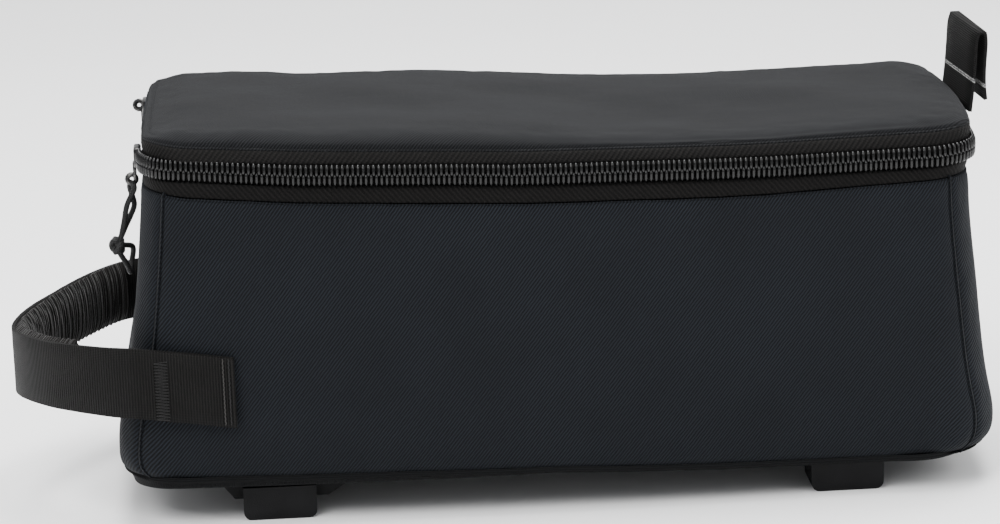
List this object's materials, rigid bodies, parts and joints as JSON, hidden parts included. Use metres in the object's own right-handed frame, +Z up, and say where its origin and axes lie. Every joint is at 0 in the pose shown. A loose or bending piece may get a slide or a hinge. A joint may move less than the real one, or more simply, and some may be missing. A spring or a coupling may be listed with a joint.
{
  "type": "bicycle trunk bag",
  "caption": "Long soft bag for a bicycle rear rack, with a zipped lid, a padded carrying handle at one end, a folded webbing tab at the other and feet under a rack plate.",
  "frame": {"origin": "on the plane that the feet stand on, under the middle of the object's box without its cord", "axes": "+Z up, +X along the bag from the carrying handle to the tab, -Y out of the long wall with the front slider"},
  "size_m": [0.4282, 0.1652, 0.1891],
  "materials": {
    "twill": "matte navy charcoal twill",
    "base_cloth": "matte dark coated cloth",
    "tape_cloth": "black herringbone zip tape",
    "webbing": "black ribbed webbing",
    "gathered_cloth": "black gathered cloth",
    "coil": "glossy black coil",
    "gunmetal": "gunmetal enamel",
    "cord": "black braided cord",
    "plastic": "matte dark grey"
  },
  "bodies": {
    "root": {"side_panel_front": "twill", "side_panel_back": "twill", "end_panel_left": "twill", "end_panel_right": "twill", "lid_top": "twill", "lid_hinge": "twill", "bottom_panel": "base_cloth", "zipper_tape_lower": "tape_cloth", "zipper_tape_upper": "tape_cloth", "handle_webbing": "webbing", "lid_tab": "webbing", "handle_padding": "gathered_cloth", "zipper_chain": "coil", "slider_front": "gunmetal", "slider_back": "gunmetal", "pull_strand_left": "cord", "pull_strand_right": "cord", "pull_knot": "cord", "pull_loop": "cord", "base_plate": "plastic", "foot_front_left": "plastic", "foot_front_right": "plastic", "foot_back_left": "plastic", "foot_back_right": "plastic", "bracket_front_left": "plastic", "bracket_front_right": "plastic", "bracket_back_left": "plastic", "bracket_back_right": "plastic"}
  },
  "joints": []
}
